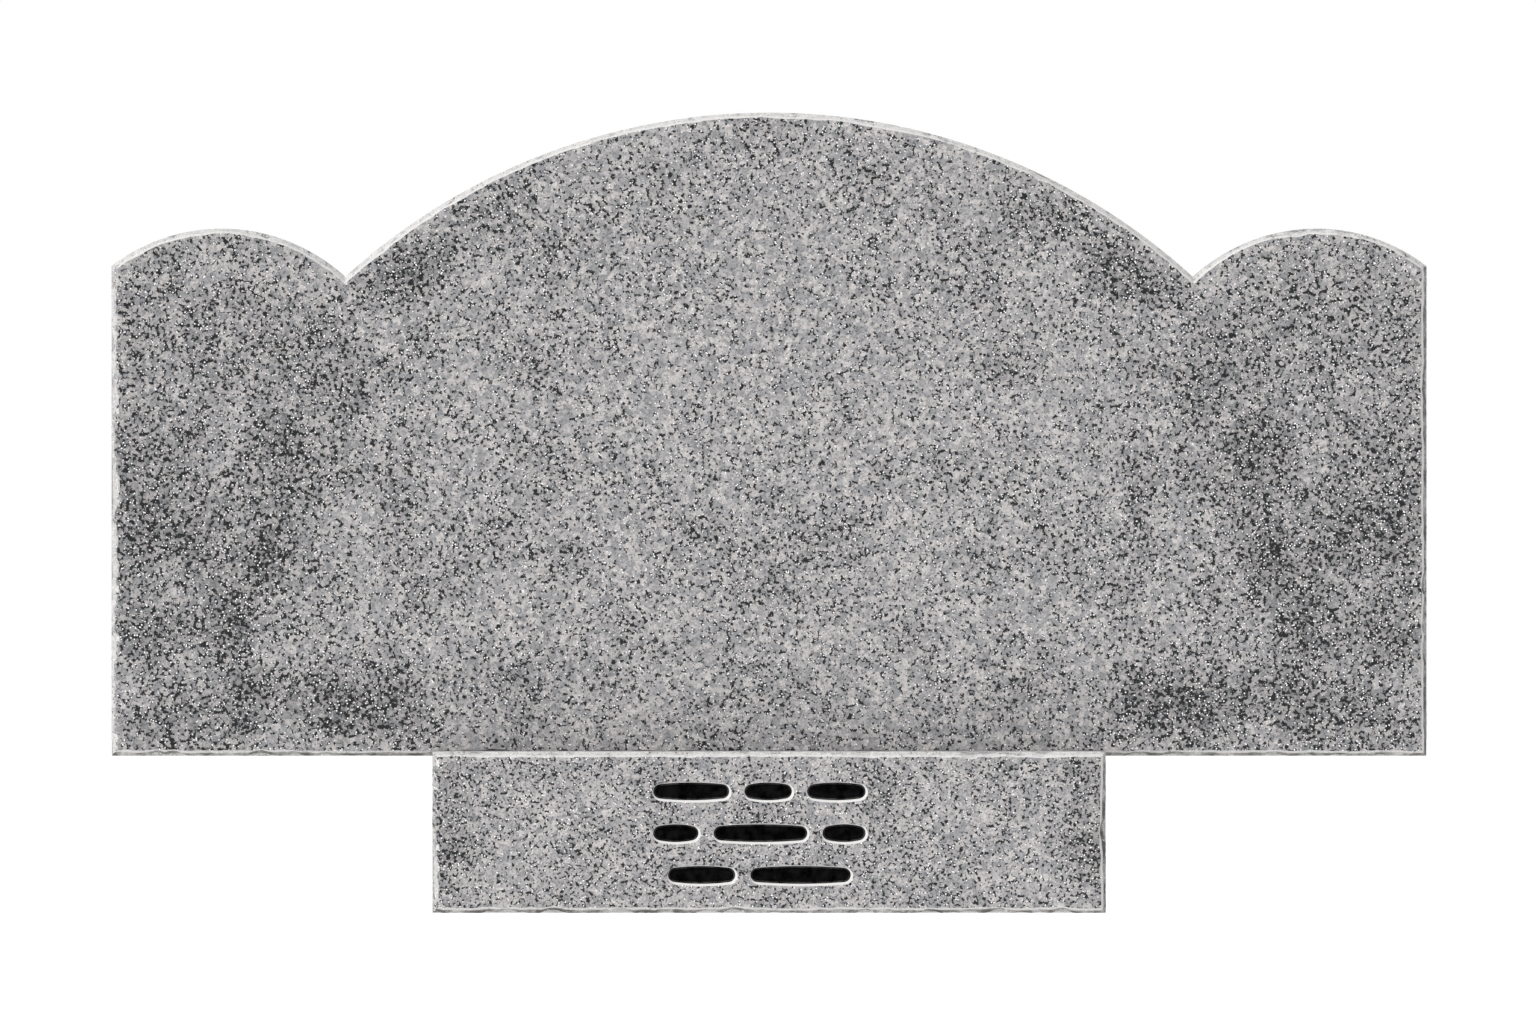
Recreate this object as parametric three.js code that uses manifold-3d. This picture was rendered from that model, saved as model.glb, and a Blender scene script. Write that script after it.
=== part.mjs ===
// A wide headstone of grey granite, made of two stones. Millimetres, +Z up, front towards -Y.
// The tablet is one slab: a large crown arch between two low shoulder arches, with both faces
// chamfered all round. Its foot stands in a shallow socket that runs right across the top of a
// narrower base block. Rows of short strokes are cut into the front of the base.
// The origin is on the ground, under the middle of the base.

import * as THREE from "three";
import { mergeVertices } from "three/addons/utils/BufferGeometryUtils.js";
import Module from "manifold-3d";

// Tablet. Heights are measured from its foot.
const tabletWidth = 1200;
const tabletHeight = 587;
const tabletThickness = 80;
const tabletChamfer = 6;
const sideHeight = 447;
const notchHeight = 437;
const shoulderWidth = 213;
const shoulderRise = 39;
const archStep = 8;

// Base block
const baseWidth = 613;
const baseDepth = 200;
const baseHeight = 147;
const baseChamfer = 6;

// Socket in the top of the base, and the joint left round the tablet's foot
const socketDepth = 5;
const socketClearance = 1;
const settingGap = 0.3;

// Inscription: the length of every stroke, row by row from the top
const strokeRows = [
  [72, 46, 56],
  [44, 88, 42],
  [64, 94],
];
const strokeHeight = 19;
const strokeGap = 11;
const rowPitch = 38;
const strokeDepth = 4;
const strokeWallRun = 3;
const strokeFloorTip = 5;
const inscriptionOffset = -8;
const inscriptionRise = -1.5;

// How far a cutter stands out of the stone that it cuts
const cutterOverrun = 10;

const granite = new THREE.MeshStandardMaterial({ color: 0xa09e9f, roughness: 0.35, metalness: 0 });

const wasm = await Module();
wasm.setup();

function toSolid(geometry) {
  const bare = geometry.clone();
  bare.deleteAttribute("normal");
  bare.deleteAttribute("uv");
  const merged = mergeVertices(bare, 1e-3);
  return new wasm.Manifold(
    new wasm.Mesh({
      numProp: 3,
      vertProperties: merged.attributes.position.array,
      triVerts: new Uint32Array(merged.index.array),
    }),
  );
}

function toGeometry(solid) {
  const { numProp, vertProperties, triVerts } = solid.getMesh();
  const geometry = new THREE.BufferGeometry();
  geometry.setAttribute("position", new THREE.BufferAttribute(vertProperties, numProp));
  geometry.setIndex(new THREE.BufferAttribute(triVerts, 1));
  geometry.computeVertexNormals();
  return geometry;
}

// Points of the arch from one springing point to the other, left to right, bulging up by rise.
// Both springing points are in the list.
function archPoints(from, to, rise) {
  const chord = new THREE.Vector2().subVectors(to, from);
  const halfChord = chord.length() / 2;
  const radius = (halfChord ** 2 + rise ** 2) / (2 * rise);
  const up = new THREE.Vector2(-chord.y, chord.x).normalize();
  const centre = new THREE.Vector2()
    .addVectors(from, to)
    .multiplyScalar(0.5)
    .addScaledVector(up, rise - radius);
  const startAngle = Math.atan2(from.y - centre.y, from.x - centre.x);
  const endAngle = Math.atan2(to.y - centre.y, to.x - centre.x);
  const arch = new THREE.EllipseCurve(
    centre.x, centre.y, radius, radius, startAngle, endAngle, true,
  );
  return arch.getPoints(Math.ceil(arch.getLength() / archStep));
}

// The tablet's outline, seen from the front, with its foot on the line y = 0.
function tabletOutline() {
  const halfWidth = tabletWidth / 2;
  const notchX = halfWidth - shoulderWidth;
  const leftCorner = new THREE.Vector2(-halfWidth, sideHeight);
  const leftNotch = new THREE.Vector2(-notchX, notchHeight);
  const rightNotch = new THREE.Vector2(notchX, notchHeight);
  const rightCorner = new THREE.Vector2(halfWidth, sideHeight);
  return new THREE.Shape([
    new THREE.Vector2(-halfWidth, 0),
    ...archPoints(leftCorner, leftNotch, shoulderRise),
    ...archPoints(leftNotch, rightNotch, tabletHeight - notchHeight).slice(1),
    ...archPoints(rightNotch, rightCorner, shoulderRise).slice(1),
    new THREE.Vector2(halfWidth, 0),
  ]);
}

// The base block's outline, seen from the front, with its underside on the line y = 0.
function baseOutline() {
  const halfWidth = baseWidth / 2;
  return new THREE.Shape([
    new THREE.Vector2(-halfWidth, 0),
    new THREE.Vector2(-halfWidth, baseHeight),
    new THREE.Vector2(halfWidth, baseHeight),
    new THREE.Vector2(halfWidth, 0),
  ]);
}

// A slab with the given front outline, standing up, with both faces chamfered all round.
function chamferedSlab(outline, thickness, chamfer) {
  const straight = thickness - 2 * chamfer;
  return new THREE.ExtrudeGeometry(outline, {
    depth: straight,
    bevelThickness: chamfer,
    bevelSize: chamfer,
    bevelOffset: -chamfer,
    bevelSegments: 1,
  })
    .translate(0, 0, -straight / 2)
    .rotateX(Math.PI / 2);
}

// The mouth of one stroke: two flat arcs that swell towards the middle and run smoothly into
// round tips. The stroke is centred on the origin and lies along X.
function strokeMouth(length) {
  const tip = strokeWallRun + strokeFloorTip;
  const tipX = length / 2 - tip;
  const halfHeight = strokeHeight / 2;
  const side = (tipX ** 2 + halfHeight ** 2 - tip ** 2) / (2 * (halfHeight - tip));
  const drop = side - halfHeight;
  const turn = Math.atan2(drop, tipX);
  return new THREE.Shape()
    .absarc(0, drop, side, turn - Math.PI, -turn)
    .absarc(tipX, 0, tip, -turn, turn)
    .absarc(0, -drop, side, turn, Math.PI - turn)
    .absarc(-tipX, 0, tip, Math.PI - turn, Math.PI + turn);
}

// The hollow that one stroke leaves, with sloping walls and a flat floor. The stone's face is
// at y = 0.
function strokeCutter(length) {
  return new THREE.ExtrudeGeometry(strokeMouth(length), {
    depth: cutterOverrun,
    bevelThickness: strokeDepth,
    bevelSize: strokeWallRun,
    bevelOffset: -strokeWallRun,
    bevelSegments: 1,
    curveSegments: 6,
  }).rotateX(Math.PI / 2);
}

// Every stroke of the inscription, in place in the front of the base.
function inscriptionCutters() {
  const middle = baseHeight / 2 + inscriptionRise;
  const topRow = middle + (rowPitch * (strokeRows.length - 1)) / 2;
  return strokeRows.flatMap((lengths, row) => {
    const rowWidth = lengths.reduce((sum, length) => sum + length + strokeGap, -strokeGap);
    let left = inscriptionOffset - rowWidth / 2;
    return lengths.map((length) => {
      const centreX = left + length / 2;
      left += length + strokeGap;
      return strokeCutter(length).translate(centreX, -baseDepth / 2, topRow - row * rowPitch);
    });
  });
}

// The socket runs from end to end of the base, as wide as the tablet and its clearance.
function socketCutter() {
  const height = socketDepth + cutterOverrun;
  return new THREE.BoxGeometry(
    baseWidth + 2 * cutterOverrun,
    tabletThickness + 2 * socketClearance,
    height,
  ).translate(0, 0, baseHeight - socketDepth + height / 2);
}

function makeTablet() {
  const geometry = chamferedSlab(tabletOutline(), tabletThickness, tabletChamfer);
  const tablet = new THREE.Mesh(geometry, granite);
  tablet.name = "tablet";
  tablet.position.z = baseHeight - socketDepth + settingGap;
  return tablet;
}

function makeBase() {
  let solid = toSolid(chamferedSlab(baseOutline(), baseDepth, baseChamfer));
  for (const cutter of [socketCutter(), ...inscriptionCutters()]) {
    solid = solid.subtract(toSolid(cutter));
  }
  const base = new THREE.Mesh(toGeometry(solid), granite);
  base.name = "base";
  return base;
}

const headstone = new THREE.Group();
headstone.add(makeTablet(), makeBase());

export default headstone;
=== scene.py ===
"""A wide grey granite headstone: a tablet with a crown arch between two shoulder arches, standing
in a shallow socket in a narrower base block. Metres, +Z up, front towards -Y.
"""

import math
import random

import bmesh
import bpy
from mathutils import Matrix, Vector, noise


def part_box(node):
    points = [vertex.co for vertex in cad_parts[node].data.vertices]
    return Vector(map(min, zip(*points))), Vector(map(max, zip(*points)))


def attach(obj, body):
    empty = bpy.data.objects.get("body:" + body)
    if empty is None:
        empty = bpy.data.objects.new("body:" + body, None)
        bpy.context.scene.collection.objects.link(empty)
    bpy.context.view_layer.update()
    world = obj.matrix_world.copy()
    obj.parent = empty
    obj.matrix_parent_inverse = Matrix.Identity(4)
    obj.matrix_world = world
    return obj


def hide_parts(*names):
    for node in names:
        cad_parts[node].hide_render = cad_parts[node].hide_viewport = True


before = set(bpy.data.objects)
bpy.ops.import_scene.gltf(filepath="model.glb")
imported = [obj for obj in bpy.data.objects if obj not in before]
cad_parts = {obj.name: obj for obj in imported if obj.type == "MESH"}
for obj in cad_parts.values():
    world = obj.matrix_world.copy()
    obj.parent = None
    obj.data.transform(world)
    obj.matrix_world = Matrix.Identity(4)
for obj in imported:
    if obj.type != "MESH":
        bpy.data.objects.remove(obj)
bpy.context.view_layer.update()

# Base block
# The lower stone, one block of grey granite sawn from the quarry slab. Its front is ground and
# half polished, both faces are chamfered by hand with a grinder, and the edges have since been
# knocked. The mason milled a shallow socket across its top for the tablet's foot.
base_low, base_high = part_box("base")
tablet_low, tablet_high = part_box("tablet")
CHAMFER = 0.006
EDGE_STEP = 0.0025

# Finishes. The paler inner lines and the bare rims carry a painted highlight, the stained arrises
# painted shade, and the thin paint of the stroke walls a painted sheen.
POLISHED, ARRIS, HIGHLIGHT_LINE, RUBBED, SHADE_PAINTED, HONED, SAWN, BARE_AND_HIGHLIGHT, SHEEN_PAINT, PAINT = range(10)


def run_to(bm, start, end):
    """Draws a straight run of short edges from the vertex start to the place end."""
    origin = start.co.copy()
    steps = math.ceil((end - origin).length / EDGE_STEP)
    pen = start
    for step in range(1, steps + 1):
        pen = bmesh.ops.extrude_vert_indiv(bm, verts=[pen])["verts"][0]
        pen.co = origin.lerp(end, step / steps)
    return pen


def close_outline(bm, corners):
    """Joins the two ends of a drawn outline and fills it with one face towards -Y.

    Beside a corner the outline is left clear, so that the chamfer's rings don't cross there.
    """
    CLEAR = CHAMFER * 1.15
    bmesh.ops.remove_doubles(bm, verts=bm.verts, dist=1e-6)
    for corner in corners:
        near = [vert for vert in bm.verts if (vert.co - corner).length < CLEAR]
        bmesh.ops.pointmerge(bm, verts=near, merge_co=corner)
    face = bmesh.ops.contextual_create(bm, geom=bm.edges[:])["faces"][0]
    if face.normal.y > 0:
        face.normal_flip()
    return face


def stand_slab(bm, front, thickness, chamfer):
    """Turns the outline's face into a slab with both faces chamfered and rings along its edges.

    Each face ends up exactly flat, so that it can be cut cleanly.
    """
    CHAMFER_RINGS = 3
    SIDE_RINGS = 9
    straight = thickness - 2 * chamfer
    back = bmesh.ops.extrude_face_region(bm, geom=[front])["geom"]
    back_verts = [part for part in back if isinstance(part, bmesh.types.BMVert)]
    bmesh.ops.translate(bm, verts=back_verts, vec=(0, straight, 0))
    across = [
        edge for edge in bm.edges
        if abs(edge.verts[0].co.y - edge.verts[1].co.y) > straight / 2
    ]
    bmesh.ops.subdivide_edges(bm, edges=across, cuts=SIDE_RINGS, use_grid_fill=True)
    bmesh.ops.recalc_face_normals(bm, faces=bm.faces)
    ends = [face for face in bm.faces if abs(face.normal.y) > 0.9]
    for face in ends:
        for ring in range(CHAMFER_RINGS):
            bmesh.ops.inset_region(
                bm, faces=[face], thickness=chamfer / CHAMFER_RINGS,
                depth=chamfer / CHAMFER_RINGS, use_even_offset=True, use_boundary=True,
            )
        plane = face.calc_center_median().y
        for vert in face.verts:
            vert.co.y = plane


def knock_edges(bm, front_y, back_y, seed, chips):
    """Wears the chamfers: their lines wander, most on the left, and the arrises are ragged.

    Chips are knocked out of them, most on the right and underneath. The rings of a chamfer are
    told apart by lip, which is how far each one lies behind the face.
    """
    WANDER_LONG = 0.0034
    WANDER_SHORT = 0.0026
    WANDER_LIMITS = (-0.0014, 0.0036)
    LEFTWARDS = -0.9
    STEADY_SHARE = 0.4
    STEADY_SHIFT = 0.0010
    LONG_WAVE = 0.045
    SHORT_WAVE = 0.011
    RAGGED = 0.0008
    RAGGED_WAVE = 0.0035
    CHIP_REACH = (0.004, 0.012)
    CHIP_DEPTH = (0.0012, 0.0037)
    EXPOSED = 0.7
    REST_SHARE = 0.25
    bm.normal_update()
    worn = []
    for vert in bm.verts:
        lip = min(vert.co.y - front_y, back_y - vert.co.y)
        side = Vector((vert.normal.x, 0, vert.normal.z))
        if lip < CHAMFER * 1.2 and side.length > 0.05:
            worn.append((vert, vert.co.copy(), side.normalized(), lip))
    for vert, place, side, lip in worn:
        wander = WANDER_LONG * noise.noise(place / LONG_WAVE)
        wander += WANDER_SHORT * noise.noise(place / SHORT_WAVE + Vector((7, 3, 5)))
        wander = min(max(wander, WANDER_LIMITS[0]), WANDER_LIMITS[1])
        if side.x > LEFTWARDS:
            wander = wander * STEADY_SHARE - STEADY_SHIFT
        if lip < CHAMFER * 0.5:
            vert.co -= side * wander
        elif lip > CHAMFER * 0.9:
            ragged = RAGGED * abs(noise.noise(place / RAGGED_WAVE))
            vert.co -= side * (ragged + max(wander, 0) * 0.5)
    draw = random.Random(seed)
    outer = [entry for entry in worn if abs(entry[3] - CHAMFER) < CHAMFER * 0.1]
    made = 0
    while made < chips:
        centre, side = draw.choice(outer)[1:3]
        exposed = side.x > EXPOSED or side.z < -EXPOSED
        if draw.random() > (1 if exposed else REST_SHARE):
            continue
        made += 1
        reach = draw.uniform(*CHIP_REACH)
        depth = draw.uniform(*CHIP_DEPTH) * reach / CHIP_REACH[1]
        for vert, place, outward, lip in worn:
            away = (place - centre).length / reach
            if away < 1:
                vert.co -= outward * depth * (1 - away * away)


def feed(tree, socket, value):
    """Gives a node's input a value, or links another node's output to it."""
    if isinstance(value, bpy.types.NodeSocket):
        tree.links.new(value, socket)
    else:
        socket.default_value = value


def add_node(tree, kind, **settings):
    """Adds a node, with its inputs fed and its options set by name."""
    node = tree.nodes.new(kind)
    for name, value in settings.items():
        if name in node.inputs:
            feed(tree, node.inputs[name], value)
        else:
            setattr(node, name, value)
    return node


def maths(tree, operation, *values):
    """Works out a number from others and returns its socket."""
    node = add_node(tree, "ShaderNodeMath", operation=operation)
    for socket, value in zip(node.inputs, values):
        feed(tree, socket, value)
    return node.outputs[0]


def ramp(tree, source, stops):
    """Turns a number into a shade. Each stop is a place from 0 to 1 with a grey or a colour."""
    node = add_node(tree, "ShaderNodeValToRGB")
    feed(tree, node.inputs[0], source)
    elements = node.color_ramp.elements
    while len(elements) < len(stops):
        elements.new(0.5)
    for element, (place, shade) in zip(elements, stops):
        element.position = place
        element.color = (*shade, 1) if isinstance(shade, tuple) else (shade, shade, shade, 1)
    return node.outputs[0]


def mix(tree, share, first, second, blend="MIX"):
    """Blends two colours and returns the blend. A mix node's colours are its sockets 6 and 7."""
    node = add_node(tree, "ShaderNodeMix", data_type="RGBA", blend_type=blend)
    for index, value in ((0, share), (6, first), (7, second)):
        feed(tree, node.inputs[index], value)
    return node.outputs[2]


def granite(name, pale=0.0, cover=1.0, roughness=0.3, painted_shade=0.0, sawn=False):
    """Grey granite, one solid pattern for both stones, so that the grains run on round an edge.

    pale is how far the surface is bleached, by grinding, and on the inner lines and rims as a
    painted highlight, and cover how much of it. grime is the share of painted shade laid over it
    in patches, and sawn adds the arcs left by the saw.
    """
    CRYSTALS_PER_METRE = 188.0
    WAVER = (0.005, 0.005, 0.005)
    DARK_CLOUDS = (
        # place across and up, half length and half width, turn in degrees, strength
        (0.453, 0.424, 0.045, 0.045, 0, 0.50),
        (0.529, 0.339, 0.050, 0.045, 0, 0.45),
        (0.455, 0.316, 0.100, 0.034, 60, 0.60),
        (0.398, 0.506, 0.050, 0.045, 30, 0.35),
        (0.303, 0.600, 0.150, 0.034, 35, 0.58),
        (0.380, 0.190, 0.075, 0.045, 0, 0.45),
        (0.220, 0.497, 0.050, 0.035, 0, 0.30),
        (0.575, 0.375, 0.060, 0.120, 0, 0.27),
        (0.500, 0.350, 0.170, 0.420, 0, 0.30),
        (0.385, 0.405, 0.045, 0.045, 0, 0.34),
        (0.325, 0.385, 0.045, 0.045, 0, 0.28),
        (0.322, 0.185, 0.045, 0.045, 0, 0.28),
        (0.300, 0.075, 0.045, 0.120, 0, 0.42),
        (0.460, 0.180, 0.190, 0.080, 0, 0.28),
        (0.575, 0.255, 0.040, 0.070, 0, 0.38),
    )
    CLOUD_DEPTH = 0.6
    MICA_BLACK = (0.008, 0.009, 0.010, 1)
    # The white of the painted glints, a painted highlight
    PAINTED_GLINT_WHITE = (0.95, 0.95, 0.96, 1)
    BLEACHED = (0.70, 0.69, 0.68, 1)
    # The colour of the painted shade
    PAINTED_SHADE_COLOUR = (0.085, 0.080, 0.074, 1)
    SAW_CENTRE = (0.4, 0, 1.1)
    material = bpy.data.materials.new(name)
    material.use_nodes = True
    tree = material.node_tree
    tree.nodes.clear()
    place = add_node(tree, "ShaderNodeTexCoord").outputs["Object"]
    warp = add_node(tree, "ShaderNodeTexNoise", Vector=place, Scale=180.0, Detail=2.0)
    waver = add_node(tree, "ShaderNodeVectorMath", operation="MULTIPLY_ADD")
    for socket, value in zip(waver.inputs, (warp.outputs["Color"], WAVER, place)):
        feed(tree, socket, value)
    wavering = waver.outputs[0]

    # Clouds: broad patches where the dark mica gathers, alike on both sides of the middle
    split = add_node(tree, "ShaderNodeSeparateXYZ", Vector=place)
    mirrored = add_node(
        tree, "ShaderNodeCombineXYZ", X=maths(tree, "ABSOLUTE", split.outputs["X"]),
        Y=split.outputs["Y"], Z=split.outputs["Z"],
    ).outputs[0]
    drift = add_node(
        tree, "ShaderNodeTexNoise", Vector=mirrored, Scale=17.0, Detail=3.0, Roughness=0.55,
    )
    clouds = maths(tree, "MULTIPLY_ADD", drift.outputs["Fac"], 1.5, -0.75)
    for across, up, half_length, half_width, turn, strength in DARK_CLOUDS:
        spot = add_node(
            tree, "ShaderNodeMapping", vector_type="TEXTURE", Vector=mirrored,
            Location=(across, 0, up), Rotation=(0, math.radians(turn), 0),
            Scale=(half_length, CLOUD_DEPTH, half_width),
        )
        blot = add_node(
            tree, "ShaderNodeTexGradient", gradient_type="SPHERICAL", Vector=spot.outputs[0],
        )
        clouds = maths(tree, "MULTIPLY_ADD", blot.outputs["Fac"], strength, clouds)

    # Feldspar and quartz: rounded crystals, pinkish or bluish, each of its own tone
    crystals = add_node(
        tree, "ShaderNodeTexVoronoi", Vector=wavering, Scale=CRYSTALS_PER_METRE,
    )
    tone = ramp(tree, crystals.outputs["Color"], (
        (0.20, (0.262, 0.264, 0.272)),
        (0.42, (0.335, 0.329, 0.336)),
        (0.58, (0.384, 0.371, 0.371)),
        (0.85, (0.482, 0.462, 0.455)),
    ))
    fine = add_node(
        tree, "ShaderNodeTexNoise", Vector=place, Scale=512.5, Detail=3.0, Roughness=0.6,
    ).outputs["Fac"]
    speckle = ramp(tree, fine, ((0.34, 0.62), (0.50, 1.0), (0.66, 1.24)))
    tone = mix(tree, 1.0, tone, speckle, blend="MULTIPLY")
    dusk = ramp(tree, clouds, ((0.0, 1.0), (0.75, 0.62)))
    tone = mix(tree, 1.0, tone, dusk, blend="MULTIPLY")

    # Mica: black flecks, most in the joints between the crystals and thickest in the clouds
    joints = add_node(
        tree, "ShaderNodeTexVoronoi", feature="DISTANCE_TO_EDGE", Vector=wavering,
        Scale=CRYSTALS_PER_METRE,
    )
    mica = add_node(
        tree, "ShaderNodeTexNoise", Vector=place, Scale=362.5, Detail=2.0, Roughness=0.6,
    )
    laden = maths(
        tree, "MULTIPLY_ADD", joints.outputs["Distance"], -0.17, mica.outputs["Fac"],
    )
    laden = maths(tree, "MULTIPLY_ADD", clouds, 0.105, laden)
    flecks = ramp(tree, laden, ((0.542, 0.0), (0.560, 1.0)))
    tone = mix(tree, flecks, tone, MICA_BLACK)

    # Painted glints: pale pinhead dots put into the colour among the mica, a painted highlight
    # where facets would flash
    facets = add_node(tree, "ShaderNodeTexVoronoi", Vector=place, Scale=400.0)
    pinheads = ramp(tree, facets.outputs["Distance"], ((0.26, 1.0), (0.32, 0.0)))
    flashing = ramp(tree, facets.outputs["Color"], ((0.43, 0.0), (0.46, 1.0)))
    by_mica = ramp(tree, laden, ((0.475, 0.0), (0.510, 1.0)))
    painted_glints = maths(tree, "MULTIPLY", maths(tree, "MULTIPLY", pinheads, flashing), by_mica)
    tone = mix(tree, painted_glints, tone, PAINTED_GLINT_WHITE)

    # Wear and painted light: bleached patches, which on the inner lines and rims are a painted
    # highlight, and patches of painted shade
    patches = add_node(
        tree, "ShaderNodeTexNoise", Vector=place, Scale=60.0, Detail=5.0, Roughness=0.7,
    ).outputs["Fac"]
    if pale:
        least = max(pale - 0.60, 0.0)
        bare = 0.60 - 0.18 * cover
        share = ramp(tree, patches, ((bare - 0.07, least), (bare + 0.07, pale)))
        tone = mix(tree, share, tone, BLEACHED)
    # Painted shade, laid in patches on the arrises that face away from the lamp
    if painted_shade:
        share = ramp(tree, patches, ((0.38, painted_shade), (0.68, 0.0)))
        tone = mix(tree, share, tone, PAINTED_SHADE_COLOUR)
    height = fine
    if sawn:
        arcs = add_node(tree, "ShaderNodeMapping", Vector=place, Location=SAW_CENTRE)
        saw = add_node(
            tree, "ShaderNodeTexWave", wave_type="RINGS", rings_direction="Y",
            Vector=arcs.outputs[0], Scale=38.0, Distortion=1.2, Detail=3.0,
        )
        saw.inputs["Detail Scale"].default_value = 0.6
        height = mix(tree, 0.35, height, saw.outputs["Fac"])
        furrows = ramp(tree, saw.outputs["Fac"], ((0.2, 0.88), (0.8, 1.08)))
        tone = mix(tree, 0.5, tone, furrows, blend="MULTIPLY")
    bump = add_node(
        tree, "ShaderNodeBump", Height=height, Strength=0.12 + 0.5 * pale, Distance=0.0006,
    )
    shader = add_node(
        tree, "ShaderNodeBsdfPrincipled", Roughness=roughness, Normal=bump.outputs[0],
    )
    shader.inputs["Specular IOR Level"].default_value = 0.35
    feed(tree, shader.inputs["Base Color"], tone)
    add_node(tree, "ShaderNodeOutputMaterial", Surface=shader.outputs[0])
    return material


def enamel(name, full, worn):
    """Black enamel, brushed into the cut strokes. full and worn are its shades, thick and thin."""
    material = bpy.data.materials.new(name)
    material.use_nodes = True
    tree = material.node_tree
    shader = tree.nodes["Principled BSDF"]
    place = add_node(tree, "ShaderNodeTexCoord").outputs["Object"]
    pooled = add_node(
        tree, "ShaderNodeTexNoise", Vector=place, Scale=140.0, Detail=3.0,
    ).outputs["Fac"]
    shade = ramp(tree, pooled, ((0.35, full), (0.65, worn)))
    gloss = add_node(tree, "ShaderNodeMapRange", Value=pooled)
    gloss.inputs["To Min"].default_value = 0.16
    gloss.inputs["To Max"].default_value = 0.34
    bump = add_node(tree, "ShaderNodeBump", Height=pooled, Strength=0.25, Distance=0.0008)
    feed(tree, shader.inputs["Base Color"], shade)
    feed(tree, shader.inputs["Roughness"], gloss.outputs[0])
    feed(tree, shader.inputs["Normal"], bump.outputs[0])
    shader.inputs["Specular IOR Level"].default_value = 0.012
    return material


# In the order of their names, POLISHED to PAINT
finishes = [
    granite("granite_polished", roughness=0.32),
    granite("granite_arris", pale=0.63, roughness=0.7),
    # The paler inner line of the arrises, a painted highlight
    granite("granite_highlight_line", pale=0.78, cover=1.3, roughness=0.7),
    granite("granite_rubbed", pale=0.50, cover=0.35, roughness=0.5),
    # Arrises facing right or down, away from the lamp, with painted shade in patches
    granite("granite_painted_shade", pale=0.55, roughness=0.6, painted_shade=0.95),
    granite("granite_honed", pale=0.30, roughness=0.55),
    granite("granite_sawn", pale=0.40, roughness=0.75, sawn=True),
    # Palest: the inner line of the right-hand arrises, a painted highlight, and the bare rims of
    # the strokes
    granite("granite_bare_and_highlight", pale=0.93, cover=2.0, roughness=0.7),
    # The stroke walls' paler black, a painted sheen
    enamel("sheen_enamel", full=0.010, worn=0.060),
    enamel("black_enamel", full=0.0003, worn=0.0060),
]


def finish_faces(bm, front_y, back_y, left_edge):
    """Gives each face of a slab its finish: polished front, honed sides, sawn back.

    The arrises are pale, with a paler inner line that is a painted highlight, palest on the right.
    On the right and underneath, where they face away from the lamp, they carry painted shade.
    left_edge gives the finishes of the outer and the inner part of the left-hand arris.
    """
    FLAT = 0.95
    SIDEWAYS = 0.6
    AWAY_FROM_LAMP = -0.4
    for face in bm.faces:
        middle = face.calc_center_median().y
        lip = min(middle - front_y, back_y - middle)
        inner = lip < CHAMFER / 3
        if face.normal.y < -FLAT:
            face.material_index = POLISHED
        elif face.normal.y > FLAT:
            face.material_index = SAWN
        elif lip > CHAMFER:
            face.material_index = HONED
        elif face.normal.x < -SIDEWAYS:
            face.material_index = left_edge[inner]
        # Inner rings are paler as a painted highlight, palest on the right
        elif inner:
            face.material_index = BARE_AND_HIGHLIGHT if face.normal.x > SIDEWAYS else HIGHLIGHT_LINE
        else:
            # Outer rings turned right or down, away from the lamp, get painted shade
            away_from_lamp = face.normal.z - face.normal.x < AWAY_FROM_LAMP
            face.material_index = SHADE_PAINTED if away_from_lamp else ARRIS


def to_object(bm, name):
    """Makes the finished mesh an object at the origin, with all ten finishes."""
    mesh = bpy.data.meshes.new(name)
    bm.to_mesh(mesh)
    bm.free()
    made = bpy.data.objects.new(name, mesh)
    bpy.context.scene.collection.objects.link(made)
    for finish in finishes:
        mesh.materials.append(finish)
    return made


bm = bmesh.new()
front_y, back_y = base_low.y, base_high.y
corners = [
    Vector((x, front_y + CHAMFER, z))
    for x, z in (
        (base_low.x, base_low.z), (base_low.x, base_high.z),
        (base_high.x, base_high.z), (base_high.x, base_low.z),
    )
]
pen = bm.verts.new(corners[0])
for corner in corners[1:] + corners[:1]:
    pen = run_to(bm, pen, corner)
stand_slab(bm, close_outline(bm, corners), back_y - front_y, CHAMFER)
knock_edges(bm, front_y, back_y, seed=11, chips=70)
bm.normal_update()
finish_faces(bm, front_y, back_y, left_edge=(RUBBED, POLISHED))
base = to_object(bm, "base_block")

# Socket and inscription
# Both are cut into the block: the socket with a milling head, from end to end, and the strokes
# of the inscription with sandblast and chisel. Their sloping walls and floors are painted with
# black enamel, the walls in a paler black that is a painted sheen. The rims are bare pale stone,
# shifted widest to the lower right as a painted highlight.
SOCKET_DEPTH = 0.005
SOCKET_CLEARANCE = 0.001
CUTTER_OVERRUN = 0.010
STROKE_ROWS = ((0.072, 0.046, 0.056), (0.044, 0.088, 0.042), (0.064, 0.094))
STROKE_HEIGHT = 0.019
STROKE_GAP = 0.011
ROW_PITCH = 0.038
STROKE_TIP = 0.008
STROKE_LEFT = -0.008
STROKE_RISE = -0.0015
# The rim is bare pale stone, shifted widest to the lower right as a painted highlight
RIM_WIDTH = 0.0014
RIM_SHIFT = 0.0008
RIM_DEPTH = 0.0012
WALL_RUN = 0.0016
WALL_DEPTH = 0.0028


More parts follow.
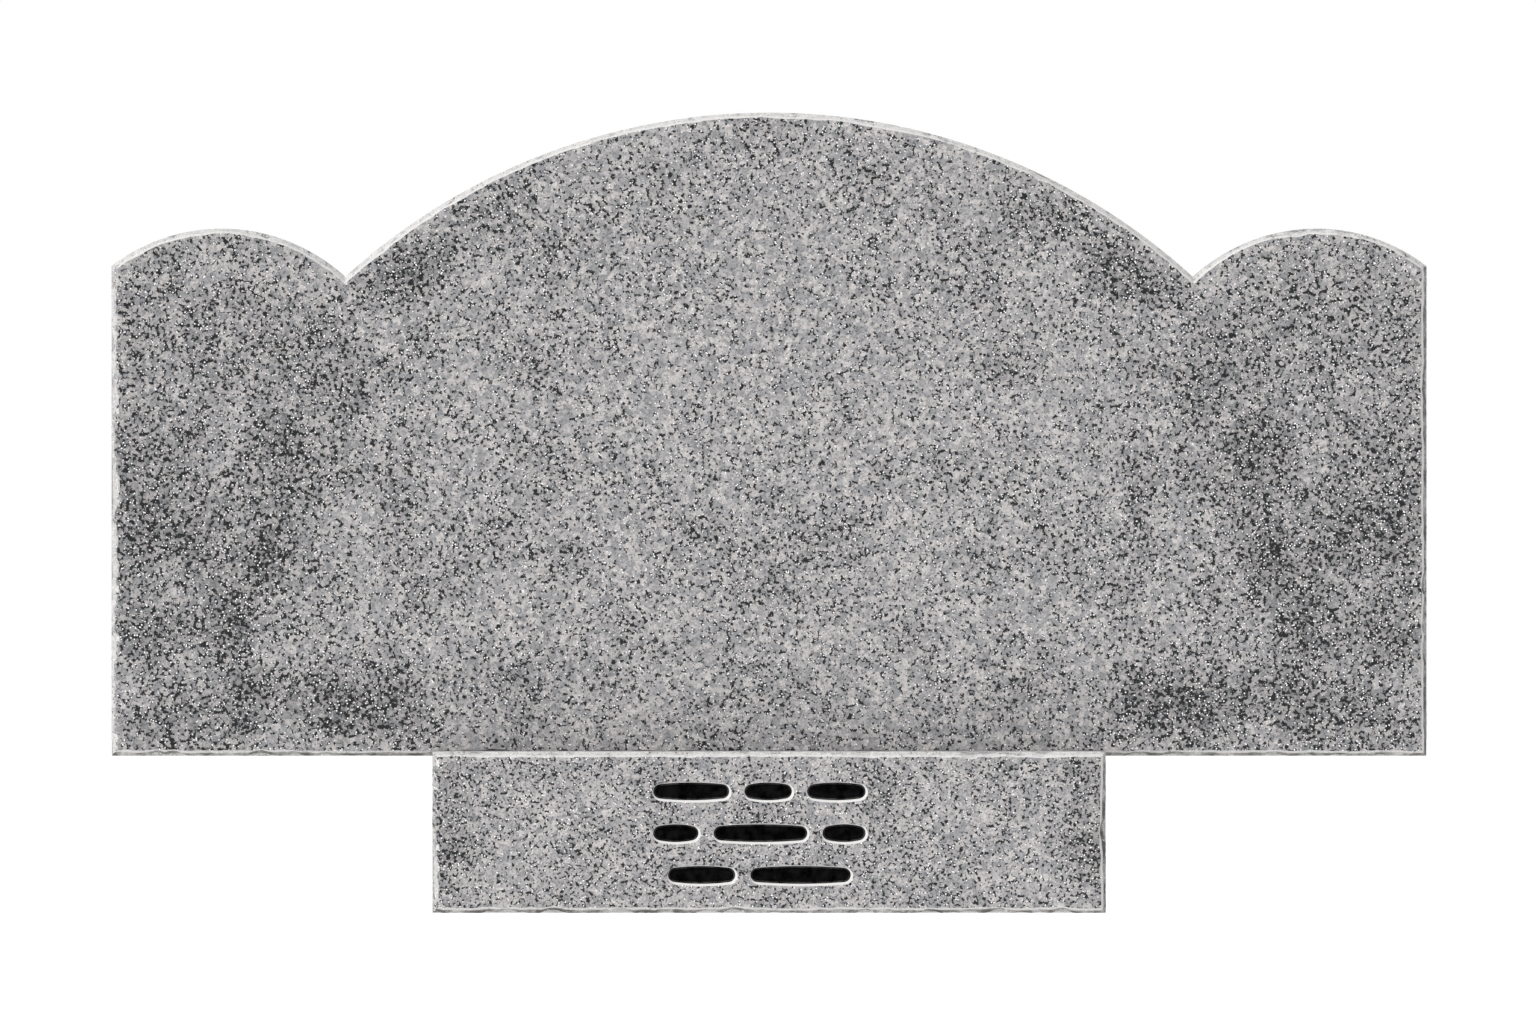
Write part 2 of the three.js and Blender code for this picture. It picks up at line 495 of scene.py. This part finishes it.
def cut_stroke(bm, centre, length):
    """Adds the hollow of one stroke: a bar swelling to its middle, with smoothly rounded tips."""
    ARC_STEPS = 28
    TIP_STEPS = 14
    tip_x = length / 2 - STROKE_TIP
    half_height = STROKE_HEIGHT / 2
    side = (tip_x ** 2 + half_height ** 2 - STROKE_TIP ** 2) / (2 * (half_height - STROKE_TIP))
    drop = side - half_height
    turn = math.atan2(drop, tip_x)
    outside = centre - Vector((0, CUTTER_OVERRUN, 0))
    first = outside + Vector((-side * math.cos(turn), 0, -drop + side * math.sin(turn)))
    pen = bm.verts.new(first)
    made = [pen]
    for middle, angle, steps in (
        (outside + Vector((0, 0, -drop)), math.pi - 2 * turn, ARC_STEPS),
        (outside + Vector((tip_x, 0, 0)), 2 * turn, TIP_STEPS),
        (outside + Vector((0, 0, drop)), math.pi - 2 * turn, ARC_STEPS),
        (outside + Vector((-tip_x, 0, 0)), 2 * turn, TIP_STEPS),
    ):
        before = set(bm.verts)
        last = bmesh.ops.spin(
            bm, geom=[pen], cent=middle, axis=(0, 1, 0), angle=angle, steps=steps,
        )["geom_last"]
        pen = next(part for part in last if isinstance(part, bmesh.types.BMVert))
        made += [vert for vert in bm.verts if vert not in before]
    bmesh.ops.remove_doubles(bm, verts=made, dist=1e-6)
    edges = [edge for edge in bm.edges if edge.is_wire]
    face = bmesh.ops.contextual_create(bm, geom=edges)["faces"][0]
    inner = bmesh.ops.extrude_face_region(bm, geom=[face])["geom"]
    bmesh.ops.translate(
        bm, verts=[part for part in inner if isinstance(part, bmesh.types.BMVert)],
        vec=(0, CUTTER_OVERRUN, 0),
    )
    floor = next(part for part in inner if isinstance(part, bmesh.types.BMFace))
    if floor.normal.y < 0:
        floor.normal_flip()
    for width, depth, finish in (
        (RIM_WIDTH, RIM_DEPTH, BARE_AND_HIGHLIGHT),
        # The walls, in a paler black that is a painted sheen
        (WALL_RUN, WALL_DEPTH, SHEEN_PAINT),
    ):
        ring = bmesh.ops.inset_region(
            bm, faces=[floor], thickness=width, depth=depth, use_even_offset=True,
        )["faces"]
        for face in ring:
            face.material_index = finish
        # Shifting the floor up and left makes the bare rim widest at the lower right, a painted
        # highlight
        if finish == BARE_AND_HIGHLIGHT:
            bmesh.ops.translate(bm, verts=floor.verts, vec=(-RIM_SHIFT, 0, RIM_SHIFT))
    floor.material_index = PAINT


cutter_bm = bmesh.new()
top_row = (base_low.z + base_high.z) / 2 + STROKE_RISE + ROW_PITCH * (len(STROKE_ROWS) - 1) / 2
for row, lengths in enumerate(STROKE_ROWS):
    left = STROKE_LEFT - (sum(lengths) + STROKE_GAP * (len(lengths) - 1)) / 2
    for length in lengths:
        centre = Vector((left + length / 2, front_y, top_row - row * ROW_PITCH))
        cut_stroke(cutter_bm, centre, length)
        left += length + STROKE_GAP
socket = bmesh.ops.create_cube(cutter_bm, size=1)["verts"]
bmesh.ops.scale(cutter_bm, verts=socket, vec=(
    base_high.x - base_low.x + 2 * CUTTER_OVERRUN,
    tablet_high.y - tablet_low.y + 2 * SOCKET_CLEARANCE,
    2 * SOCKET_DEPTH,
))
bmesh.ops.translate(cutter_bm, verts=socket, vec=(0, 0, base_high.z))
for vert in socket:
    for face in vert.link_faces:
        face.material_index = SAWN
bmesh.ops.recalc_face_normals(cutter_bm, faces=cutter_bm.faces)
cutter = to_object(cutter_bm, "cutter")
cut = base.modifiers.new("cut", "BOOLEAN")
cut.operation = "DIFFERENCE"
cut.solver = "EXACT"
cut.object = cutter
bpy.context.view_layer.update()
carved = bpy.data.meshes.new_from_object(base.evaluated_get(bpy.context.evaluated_depsgraph_get()))
base.modifiers.clear()
base.data = carved
carved.name = "base_block"
bpy.data.objects.remove(cutter)

# The cut leaves pairs of points a few nanometres apart. They are joined, and the faces with
# holes in them are made triangles.
bm = bmesh.new()
bm.from_mesh(carved)
bmesh.ops.remove_doubles(bm, verts=bm.verts, dist=2e-6)
bmesh.ops.triangulate(bm, faces=bm.faces, ngon_method="BEAUTY")
bm.to_mesh(carved)
bm.free()

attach(base, "root")
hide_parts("base")

# Tablet
# The upper stone, one slab of the same granite cut to a template, a crown arch between two
# shoulder arches that meet it in sharp notches. It is finished like the base, and it stands
# by its own weight in the socket.
SIDE_HEIGHT = 0.447
NOTCH_HEIGHT = 0.437
SHOULDER_WIDTH = 0.213
SHOULDER_RISE = 0.039


def arch_to(bm, start, end, rise):
    """Spins the vertex start into an arch that bulges up by rise and ends at the place end."""
    chord = end - start.co
    radius = ((chord.length / 2) ** 2 + rise ** 2) / (2 * rise)
    up = Vector((-chord.z, 0, chord.x)).normalized()
    centre = (start.co + end) / 2 + up * (rise - radius)
    angle = 2 * math.asin(chord.length / 2 / radius)
    made = bmesh.ops.spin(
        bm, geom=[start], cent=centre, axis=(0, 1, 0), angle=angle,
        steps=math.ceil(radius * angle / EDGE_STEP),
    )["geom_last"]
    return next(part for part in made if isinstance(part, bmesh.types.BMVert))


bm = bmesh.new()
front_y, back_y = tablet_low.y, tablet_high.y
foot = tablet_low.z
plane = front_y + CHAMFER
half_width = (tablet_high.x - tablet_low.x) / 2
notch_x = half_width - SHOULDER_WIDTH
crown_rise = tablet_high.z - foot - NOTCH_HEIGHT
left_foot, right_foot = (Vector((x, plane, foot)) for x in (-half_width, half_width))
left_top, right_top = (Vector((x, plane, foot + SIDE_HEIGHT)) for x in (-half_width, half_width))
left_notch, right_notch = (Vector((x, plane, foot + NOTCH_HEIGHT)) for x in (-notch_x, notch_x))
pen = run_to(bm, bm.verts.new(left_foot), left_top)
pen = arch_to(bm, pen, left_notch, SHOULDER_RISE)
pen = arch_to(bm, pen, right_notch, crown_rise)
pen = arch_to(bm, pen, right_top, SHOULDER_RISE)
pen = run_to(bm, pen, right_foot)
run_to(bm, pen, left_foot)
outline = close_outline(bm, (left_foot, left_top, right_top, right_foot))
stand_slab(bm, outline, back_y - front_y, CHAMFER)
knock_edges(bm, front_y, back_y, seed=5, chips=110)
bm.normal_update()
finish_faces(bm, front_y, back_y, left_edge=(ARRIS, RUBBED))
tablet = to_object(bm, "tablet_slab")

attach(tablet, "root")
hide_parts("tablet")

# Studio
# A plain white floor and background that glow softly and take no shadow, a soft lamp from the
# upper left, a wide one overhead, and a long lens straight in front, so that nothing looks
# foreshortened.
PICTURE_WIDTH = 1536
PICTURE_MIDDLE = (768, 512)
METRES_PER_PIXEL = 1.2 / 1315.7
TABLET_MIDDLE_PIXEL = 769.05
TABLET_FOOT_PIXEL = 756.0
CAMERA_AWAY = 20.0

floor_bm = bmesh.new()
bmesh.ops.create_grid(floor_bm, x_segments=1, y_segments=1, size=15)
floor_mesh = bpy.data.meshes.new("floor")
floor_bm.to_mesh(floor_mesh)
floor_bm.free()
floor = bpy.data.objects.new("floor", floor_mesh)
bpy.context.scene.collection.objects.link(floor)
white = bpy.data.materials.new("white_floor")
white.use_nodes = True
glow = white.node_tree.nodes["Principled BSDF"]
glow.inputs["Base Color"].default_value = (0.2, 0.2, 0.2, 1)
glow.inputs["Roughness"].default_value = 0.9
glow.inputs["Emission Color"].default_value = (1, 1, 1, 1)
glow.inputs["Emission Strength"].default_value = 0.96
floor_mesh.materials.append(white)

world = bpy.data.worlds.new("studio")
world.use_nodes = True
bpy.context.scene.world = world
tree = world.node_tree
seen = tree.nodes["Background"]
seen.inputs["Color"].default_value = (1, 1, 1, 1)
seen.inputs["Strength"].default_value = 1.0
lighting = add_node(tree, "ShaderNodeBackground", Color=(1, 1, 1, 1), Strength=0.30)
rays = add_node(tree, "ShaderNodeLightPath")
choose = add_node(tree, "ShaderNodeMixShader", Fac=rays.outputs["Is Camera Ray"])
feed(tree, choose.inputs[1], lighting.outputs[0])
feed(tree, choose.inputs[2], seen.outputs[0])
feed(tree, tree.nodes["World Output"].inputs["Surface"], choose.outputs[0])


def lamp(name, towards, softness, strength):
    """A distant lamp that shines in the direction towards. softness is its width in degrees."""
    light = bpy.data.lights.new(name, "SUN")
    light.angle = math.radians(softness)
    light.energy = strength
    made = bpy.data.objects.new(name, light)
    made.rotation_euler = Vector(towards).to_track_quat("-Z", "Y").to_euler()
    bpy.context.scene.collection.objects.link(made)


lamp("key", towards=(0.60, 0.62, -0.62), softness=14, strength=2.3)
lamp("overhead", towards=(0, 0.1, -1), softness=60, strength=1.1)

camera = bpy.data.cameras.new("camera")
camera.sensor_width = 36
camera.lens = 36 * CAMERA_AWAY / (PICTURE_WIDTH * METRES_PER_PIXEL)
camera.clip_end = 100
viewer = bpy.data.objects.new("camera", camera)
bpy.context.scene.collection.objects.link(viewer)
viewer.location = (
    (PICTURE_MIDDLE[0] - TABLET_MIDDLE_PIXEL) * METRES_PER_PIXEL,
    tablet_low.y - CAMERA_AWAY,
    tablet_low.z + (TABLET_FOOT_PIXEL - PICTURE_MIDDLE[1]) * METRES_PER_PIXEL,
)
viewer.rotation_euler = (math.radians(90), 0, 0)
bpy.context.scene.camera = viewer
bpy.context.scene.view_settings.view_transform = "Standard"
